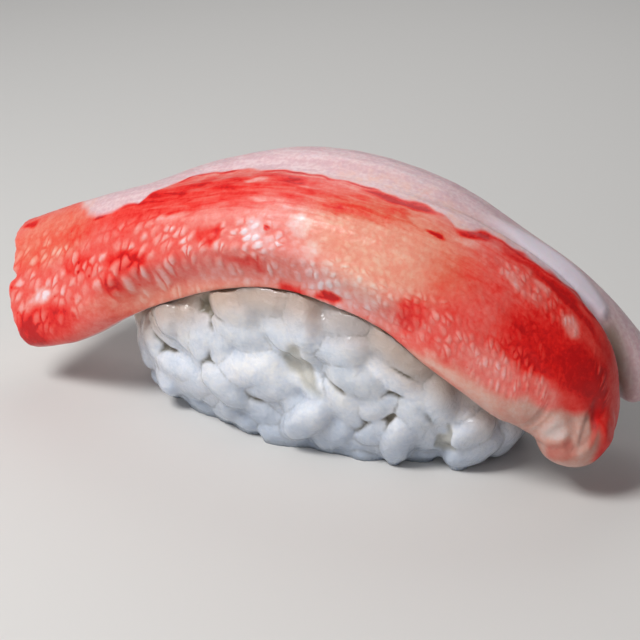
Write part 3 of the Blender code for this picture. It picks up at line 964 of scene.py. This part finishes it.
def off_core(places):
    """How far each place stands off the bare oblong, and the way straight out of it."""
    reach = np.where(places[:, 2:] < CORE_MIDDLE[2], CORE_BELOW, CORE_ABOVE)
    offset = places - CORE_MIDDLE
    share = np.abs(offset / reach)
    level = (share**CORE_SQUARENESS).sum(axis=1) ** (1.0 / CORE_SQUARENESS)
    slope = np.sign(offset) * share ** (CORE_SQUARENESS - 1.0) / reach
    slope *= (level ** (1.0 - CORE_SQUARENESS))[:, None]
    steepness = np.linalg.norm(slope, axis=1)
    return (level - 1.0) / steepness, slope / steepness[:, None]


def core_point(direction):
    reach = CORE_BELOW if direction[2] < 0.0 else CORE_ABOVE
    total = (np.abs(direction / reach) ** CORE_SQUARENESS).sum()
    return CORE_MIDDLE + direction * total ** (-1.0 / CORE_SQUARENESS)


def spiral():
    golden = math.pi * (3.0 - math.sqrt(5.0))
    for i in range(START_COUNT):
        up = 1.0 - 2.0 * (i + 0.5) / START_COUNT
        side = math.sqrt(1.0 - up * up)
        stretched = np.array([side * math.cos(i * golden), side * math.sin(i * golden), up]) * CORE_ABOVE
        yield core_point(stretched)


def front_point(x, z):
    """The point of the oblong's front at this x and z, or the nearest one to it."""
    reach = CORE_BELOW if z < CORE_MIDDLE[2] else CORE_ABOVE
    share_x, share_z = abs(x - CORE_MIDDLE[0]) / reach[0], abs(z - CORE_MIDDLE[2]) / reach[2]
    left = max(1.0 - (share_x**CORE_SQUARENESS + share_z**CORE_SQUARENESS), 0.0)
    return np.array([x, CORE_MIDDLE[1] - reach[1] * left ** (1.0 / CORE_SQUARENESS), z])


def under_meat(place):
    _, out = off_core(place[None, :])
    return meat_tree.ray_cast(Vector(place) * MM, Vector(out[0]), MEAT_ABOVE * MM)[0] is not None


def push_off_meat(balls):
    push = np.zeros_like(balls)
    for i, ball in enumerate(balls):
        near, normal, _, _ = meat_tree.find_nearest(Vector(ball) * MM, MEAT_NEAR * MM)
        if near is not None:
            short = BALL_RADIUS + CLEARANCE - (Vector(ball) * MM - near).dot(normal) / MM
            push[i] = np.array(normal) * min(max(short, 0.0), 1.0)
    return push


def push_apart(balls):
    gap = balls[:, None, :] - balls[None, :, :]
    distance = np.linalg.norm(gap, axis=2)
    owner = np.arange(len(balls)) // 3
    overlap = np.clip(2.0 * BALL_RADIUS - distance, 0.0, None)
    overlap[owner[:, None] == owner[None, :]] = 0.0
    ways = gap / np.maximum(distance, 0.05)[:, :, None]
    return (ways * overlap[:, :, None]).sum(axis=1) * APART_SHARE


def settle():
    """The middles and headings of the settled grains, and the sizes of those laid one by one."""
    draw = random.Random(GRAIN_SEED)
    ends = np.array([(front_point(x0, z0), front_point(x1, z1)) for x0, z0, x1, z1, _ in LAID])
    laid = ends.mean(axis=1)
    starts = list(laid)
    for place in spiral():
        for start in (place, place + SECOND_START):
            if not under_meat(start) and np.linalg.norm(laid - start, axis=1).min() > LAID_ROOM:
                starts.append(start)
                break
    middles = np.array(starts)
    headings = np.array([[draw.gauss(0.0, 1.0) for _ in range(3)] for _ in starts])
    headings[: len(laid)] = ends[:, 1] - ends[:, 0]
    laid_headings = unit(headings[: len(laid)])
    lifts = np.repeat([draw.uniform(*GRAIN_LIFT) for _ in starts], 3)
    steps = np.array([-1.0, 0.0, 1.0])[None, :, None] * BALL_SPACING
    for _ in range(PACKING_STEPS):
        headings = unit(headings)
        balls = (middles[:, None, :] + headings[:, None, :] * steps).reshape(-1, 3)
        height, out = off_core(balls)
        push = push_apart(balls) + push_off_meat(balls)
        push -= out * (height - lifts)[:, None] * HEIGHT_SHARE
        push[:, 2] += np.clip(LOWEST_MIDDLE - balls[:, 2], 0.0, 1.0)
        push = push.reshape(-1, 3, 3)
        middles = middles + push.mean(axis=1)
        headings = headings + (push[:, 2] - push[:, 0]) / (4.0 * BALL_SPACING)
        middles[: len(laid)], headings[: len(laid)] = laid, laid_headings
    lengths = np.linalg.norm(ends[:, 1] - ends[:, 0], axis=1) + GRAIN_WIDTH / 2
    return middles, unit(headings), np.clip(lengths / GRAIN_LENGTH, *LAID_SIZES)


middles, headings, laid_sizes = settle()
print(len(middles), "grains settled")


# %% [markdown]
# ## The heap
#
# The core is a ball shaped to the oblong and kept clear of the meat. The grains are
# copied to their places and joined to it. Real grains of pressed rice stick together with
# soft valleys between them, so the heap is made again as one skin by a fine voxel remesh.
# Swelling it, remeshing it and shrinking it back fills the narrow valleys. It is then cut
# flat below and smoothed a little, and faces are merged where the meat hides them.

# %% Copy the grains, join them to the core and melt them together
STICKING = 0.42
GRAIN_SIZES = (0.86, 1.04)
CORE_CLEARANCE = 0.8
FOOT_CUT = {"plane_co": (0.0, 0.0, 0.1 * MM), "plane_no": (0.0, 0.0, 1.0)}

_, outs = off_core(middles)
draw = random.Random(GRAIN_SEED)
sizes = [draw.uniform(*GRAIN_SIZES) for _ in middles]
sizes[: len(LAID)] = laid_sizes
clearness = [draw.random() ** 2 for _ in middles]
clearness[: len(LAID)] = [row[-1] for row in LAID]
copies, turns = [], []
for middle, heading, out, size in zip(middles, headings, outs, sizes):
    forward = Vector(heading)
    flat = Vector(out)
    flat = (flat - forward * flat.dot(forward)).normalized()
    turned = Matrix((forward, flat.cross(forward), flat)).transposed().to_4x4() @ Matrix.Scale(size, 4)
    turns.append(np.array(turned)[:3, :3] / size**2)
    copied = new_object("grain_copy", grain.data.copy())
    copied.data.transform(Matrix.Translation(Vector(middle) * MM) @ turned)
    copies.append(copied)
bpy.data.objects.remove(grain)

heap = primitive("rice_heap", bpy.ops.mesh.primitive_uv_sphere_add, segments=48, ring_count=24, radius=1.0)
middle = Vector(CORE_MIDDLE) * MM
for vertex in heap.data.vertices:
    reach = Vector(core_point(np.array(vertex.co.normalized()))) * MM - middle
    distance = meat_tree.ray_cast(middle, reach)[3] or 1.0
    vertex.co = middle + reach.normalized() * min(reach.length, distance - CORE_CLEARANCE * MM)
for copied in copies:
    copied.select_set(True)
bpy.context.view_layer.objects.active = heap
bpy.ops.object.join()
count(heap)
modify(heap, "REMESH", mode="VOXEL", voxel_size=VOXEL)
modify(heap, "DISPLACE", strength=STICKING * MM, mid_level=0.0)
modify(heap, "REMESH", mode="VOXEL", voxel_size=VOXEL)
modify(heap, "DISPLACE", strength=-STICKING * MM, mid_level=0.0)
edit(heap, bpy.ops.mesh.bisect, use_fill=True, clear_inner=True, **FOOT_CUT)
modify(heap, "REMESH", mode="VOXEL", voxel_size=VOXEL)
modify(heap, "SMOOTH", factor=0.5, iterations=4)
points = points_of(heap)
reached = np.array([meat_tree.find_nearest(Vector(point) * MM)[3] for point in points]) / MM
hidden = (1.0 - step(reached, 0.4, 1.0)) * step(points[:, 2], 9.0, 12.0)
thin_out(heap, "hidden", np.maximum(hidden, 1.0 - step(points[:, 2], 0.2, 0.5)), MOST_TRIANGLES)


# %% [markdown]
# ## Seams and hollows
#
# Pressing has made the grains nearly flush, most of all higher up, so only a share of
# their relief is kept. The seams between grains are then drawn again as thin grooves:
# they run where a point lies as near to one grain as to the next. Some are left out, as
# where two grains have become one. Here and there a small hollow stays open between
# three grains. Last, the rice is fitted to the meat: points in or behind the meat go back
# to its surface, and points close to it are drawn up to it.

# %% Press in the seams and the hollows
FLUSH_ROUNDS = 60
# The share of the grains' relief that is kept at the top and at the foot.
RELIEF_KEPT = (0.14, 0.74)
DENT_SIZE = 1.5
DENT_HEIGHT = 0.12
CLING_REACH = 1.8
CLING_GAP = 0.06
COVERED_GAP = 0.30
SEAM_WIDTH = 0.05
SEAM_DEPTH = 0.16
# Places on the front where a hollow stays open between grains: x, z and reach.
HOLLOWS = (
    (-16.2, 8.7, 1.8), (-8.9, 14.8, 1.8), (-9.6, 8.9, 1.6), (-2.7, 6.2, 1.2), (7.1, 9.6, 1.6),
    (15.1, 13.0, 1.4), (14.0, 8.8, 1.4), (13.9, 5.9, 1.4), (10.5, 4.7, 1.2), (17.0, 6.6, 1.2),
)
HOLLOW_LEVEL = (1.04, 1.22)
HOLLOW_DEPTH = 0.6
# Wider dips: x, z, half length, half width and turn in degrees, and depth.
DIPS = (
    (3.2, 10.6, 3.4, 1.6, -55, 0.40),
    (19.4, 4.3, 1.8, 0.7, 80, 0.40),
)


def nearest_grains(points):
    """How far each point lies from the nearest two grains, and how clear they are there."""
    nearest = np.full(len(points), 9.0)
    second, weight, clear = nearest.copy(), np.zeros(len(points)), np.zeros(len(points))
    half = np.array([GRAIN_LENGTH, GRAIN_WIDTH, GRAIN_THICKNESS]) / 2
    for middle, turn, share in zip(middles, turns, clearness):
        level = np.linalg.norm((points - middle) @ turn / half, axis=1)
        second = np.minimum(second, np.maximum(level, nearest))
        nearest = np.minimum(nearest, level)
        near = np.exp(-14.0 * np.minimum(level, 9.0))
        weight += near
        clear += near * share
    return nearest, second, clear / np.maximum(weight, 1e-60)


points = points_of(heap)
nearest, second, clear = nearest_grains(points)
above_foot = step(points[:, 2], 0.4, 1.2)
on_front = (points[:, 1] < CORE_MIDDLE[1]) * above_foot
kept = RELIEF_KEPT[1] + (RELIEF_KEPT[0] - RELIEF_KEPT[1]) * step(points[:, 2], 1.0, 9.0)
modify(heap, "SMOOTH", factor=0.5, iterations=FLUSH_ROUNDS)
flush = points_of(heap)
points = flush + (points - flush) * kept[:, None]
move_points(heap, points)
normals = read_points(heap, "normal")

seam = np.exp(-(((second - nearest) / SEAM_WIDTH) ** 2))
seam *= step(noise_at(points, 4.0, 9), -0.3, 0.3) * above_foot
open_here = 0.6 * step(noise_at(points, 9.0, 10), 0.1, 0.4) * (1.0 - on_front)
for x, z, reach in HOLLOWS:
    open_here = np.maximum(open_here, oval(points[:, 0], points[:, 2], x, z, reach, reach, 0) * on_front)
hollow = HOLLOW_DEPTH * step(nearest, *HOLLOW_LEVEL) * open_here * above_foot
ragged_x = points[:, 0] + 1.2 * noise_at(points, 2.2, 13)
ragged_z = points[:, 2] + 1.2 * noise_at(points, 2.2, 14)
dip = np.zeros(len(points))
for x, z, *shape, depth in DIPS:
    dip = np.maximum(dip, depth * oval(ragged_x, ragged_z, x, z, *shape) * on_front)
dents = DENT_HEIGHT * noise_at(points, DENT_SIZE, 11) * above_foot
points += normals * (dents - SEAM_DEPTH * seam - hollow - dip)[:, None]

# Points in or behind the meat, as seen from the heap's middle, go back to its surface.
for i, point in enumerate(points):
    way = Vector(point) * MM - middle
    meat_place = meat_tree.ray_cast(middle, way, way.length)[0]
    if meat_place is not None:
        points[i] = np.array(meat_place) / MM

# Wet rice clings to what lies on it, so points close to the meat are drawn up to it. Where
# the meat covers the rice, the gap is wider.
found = [meat_tree.find_nearest(Vector(point) * MM) for point in points]
on_meat = np.array([near for near, _, _, _ in found]) / MM
from_meat = np.array([meat_normal for _, meat_normal, _, _ in found])
away = points - on_meat
reached = np.linalg.norm(away, axis=1) * np.sign((away * from_meat).sum(axis=1))
away = np.where(np.abs(reached)[:, None] > 0.02, away / reached[:, None], from_meat)
gap = CLING_GAP + COVERED_GAP * step(-(normals * from_meat).sum(axis=1), 0.3, 0.8)
pull = 1.0 - step(reached, 0.2, CLING_REACH)
points += (on_meat + away * gap[:, None] - points) * pull[:, None]
points[:, 2] = np.where(points[:, 2] < 0.35, 0.0, points[:, 2])
move_points(heap, points)
only(heap)
bpy.ops.object.shade_smooth()


# %% [markdown]
# ## Cooked rice
#
# Boiled short grain rice: swollen starch, seen through a film of water. It is as clear
# as thin milk jelly, so light wanders through a grain and out of the next one, and the
# heap has hardly any dark shade. Grains beside the meat take up its warm juice, and that
# warm tint is also painted shade under the meat's lip and painted warm light from the
# meat. Seams, dips and hollows between grains are laid darker as painted shade, and the
# foot of the heap is laid darker and bluer as painted shade.

# %% The material of the rice
WARM_REACH = 5.5
# Name, share and colour of what lies over the white, one after the other.
RICE_TINTS = (
    # The warm tint is the meat's juice, and also painted shade under its lip and painted warm light from
    # it.
    ("warm", 1.0, "B8987C"),
    ("clear", 0.5, "AEB6C0"),
    # Painted shade: the foot of the heap is laid darker and bluer.
    ("foot", 0.75, "98A5B8"),
    # Painted shade: seams, dips and hollows between grains are laid darker.
    ("seam", 0.30, "A9A59B"),
    ("dip", 0.5, "A39A7C"),
    ("hollow", 0.85, "75694F"),
)

store(
    heap,
    # Warm beside the meat: juice, and also painted shade under the lip and painted warm light from the
    # meat.
    warm=1.0 - step(reached, 0.0, WARM_REACH),
    clear=clear,
    # Painted shade in the seams, hollows and dips between grains.
    seam=seam,
    hollow=np.minimum(hollow / 0.4, 1.0),
    dip=np.minimum(dip / 0.3, 1.0),
    # Painted shade: darker and bluer towards the foot of the heap.
    foot=1.0 - step(points[:, 2], 0.0, 10.0),
)


def rice_material():
    made, tree, shader = new_material("boiled_short_grain_rice")
    in_mm = add(tree, "TexCoord", output="Object")
    in_mm = add(tree, "VectorMath", in_mm, Scale=1.0 / MM, operation="SCALE")
    cloud = add(tree, "TexNoise", Vector=in_mm, Scale=1 / 3.0, Detail=3.0)
    speckle = add(tree, "TexNoise", Vector=in_mm, Scale=1 / 0.5, Detail=2.0)
    tone = vary(tree, cloud, (speckle, 0.6))
    white = add(tree, "ValToRGB", tone, stops=((0.3, "D8DFEA"), (0.5, "E6E9F0"), (0.7, "F2F1F2")))
    tints = []
    for name, share, hex_value in RICE_TINTS:
        stored = add(tree, "Attribute", output="Fac", attribute_name=name)
        tints.append((add(tree, "MULTIPLY", stored, share), colour(hex_value)))
    ripples = add(tree, "TexNoise", Vector=in_mm, Scale=1 / 1.1, Detail=5.0, Roughness=0.6, Distortion=0.4)
    plug(tree, shader, {
        "Base Color": layered(tree, white, *tints),
        "Roughness": 0.26,
        "IOR": 1.38,
        "Subsurface Weight": 1.0,
        "Subsurface Radius": (1.0, 0.95, 0.85),
        "Subsurface Scale": 2.6 * MM,
        "Coat Weight": 0.6,
        "Coat Roughness": 0.08,
        "Coat IOR": 1.33,
        "Normal": add(tree, "Bump", Height=ripples, Strength=0.9, Distance=0.35 * MM),
    })
    return made


heap.data.materials.clear()
heap.data.materials.append(rice_material())


# %% [markdown]
# ## Floor and light
#
# A plain pale floor and one large soft light from the front left, high up, as a window
# beside the viewer gives. A weak one stands low in front, for what turns under, and
# another behind. Soft light is what shows moist food best: it draws broad highlights on
# the meat and small ones on the grains.

# %% Floor
floor_material, tree, shader = new_material("matt_card_floor")
plug(tree, shader, {"Base Color": colour("D8D6D3"), "Roughness": 0.8})
floor = primitive("floor", bpy.ops.mesh.primitive_plane_add, size=3.0)
floor.data.materials.append(floor_material)


# %% Lights
world = bpy.data.worlds.new("studio")
world.use_nodes = True
glow = {"Color": colour("F2F4F8"), "Strength": 0.18}
plug(world.node_tree, world.node_tree.nodes["Background"], glow)
bpy.context.scene.world = world


def soft_light(name, place, size, power):
    """A square white soft box that looks at the nigiri, its place and size in mm."""
    light = bpy.data.lights.new(name, "AREA")
    light.size = size * MM
    light.energy = power
    lamp = new_object(name, light)
    lamp.location = Vector(place) * MM
    lamp.rotation_euler = lamp.location.to_track_quat("Z", "Y").to_euler()


soft_light("key_soft_box", (-115, -172, 297), 120, 1.00)
soft_light("front_soft_box", (-60, -270, 60), 160, 0.14)
soft_light("back_soft_box", (-60, 220, 240), 200, 0.20)
bpy.context.scene.view_settings.view_transform = "Standard"


# %% [markdown]
# ## Onto the body
#
# Both pieces ride on the one body and stand for their solids.

# %% Ride and replace
for piece, node, slot in ((meat, "crab_leg", "crab_meat"), (heap, "rice", "cooked_rice")):
    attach(piece, "root")
    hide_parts(node)
